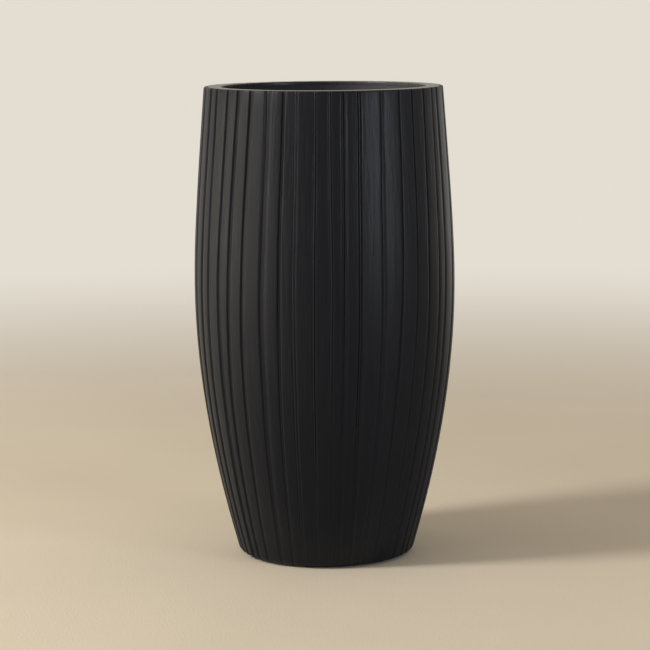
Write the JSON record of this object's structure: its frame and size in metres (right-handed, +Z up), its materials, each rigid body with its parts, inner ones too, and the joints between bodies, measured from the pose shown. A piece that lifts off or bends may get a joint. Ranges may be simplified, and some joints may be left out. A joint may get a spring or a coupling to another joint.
{
  "type": "tall planter",
  "caption": "Tall barrel-shaped floor planter in ribbed glass-fibre laminate, with a flat lip, a floor pan, a pull-out drain plug and rubber foot pads.",
  "frame": {"origin": "on the ground, under the centre of the foot", "axes": "+Z up along the planter's own axis; -Y is the side that faces the camera in the picture, with +X to the right"},
  "size_m": [0.4514, 0.4512, 0.813],
  "materials": {
    "black_gelcoat": "matt black gel coat over glass-fibre laminate, faintly satin on the ribs",
    "bare_laminate": "dark resin-rich glass-fibre laminate, rough, not gel-coated",
    "plug_rubber": "moulded black rubber",
    "pad_rubber": "stuck-on black rubber discs"
  },
  "bodies": {
    "planter": {"ribbed_shell": "black_gelcoat", "rim_collar": "black_gelcoat", "floor_pan": "bare_laminate", "foot_pad_1": "pad_rubber", "foot_pad_2": "pad_rubber", "foot_pad_3": "pad_rubber", "foot_pad_4": "pad_rubber"},
    "plug": {"drain_plug": "plug_rubber"}
  },
  "joints": [
    {"name": "drain_plug_lift", "type": "slide", "parent": "planter", "child": "plug", "axis": [0, 0, 1], "range_m": [0, 0.83]}
  ]
}
